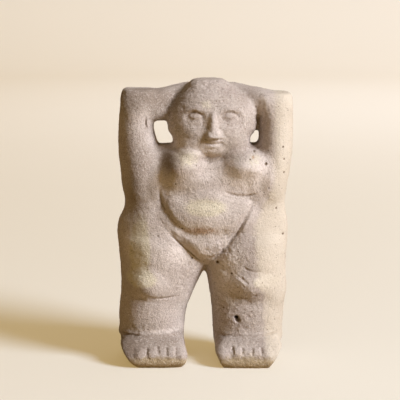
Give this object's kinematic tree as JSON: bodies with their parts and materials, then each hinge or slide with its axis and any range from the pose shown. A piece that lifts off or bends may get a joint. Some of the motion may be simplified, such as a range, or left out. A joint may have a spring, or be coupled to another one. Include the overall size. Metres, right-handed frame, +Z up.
{
  "type": "female statue",
  "caption": "Standing stoneware woman with both arms raised behind her head, in coarse unglazed clay, on her own two flat soles.",
  "frame": {"origin": "on the ground, under the middle of the figure's box", "axes": "+Z up the figure, -Y the way the figure faces, +X to the viewer's right"},
  "size_m": [0.2235, 0.1264, 0.36],
  "materials": {
    "fired_clay": "unglazed coarse stoneware, mauve grey with ochre patches, dry and grainy"
  },
  "bodies": {
    "root": {"statue": "fired_clay"}
  },
  "joints": []
}
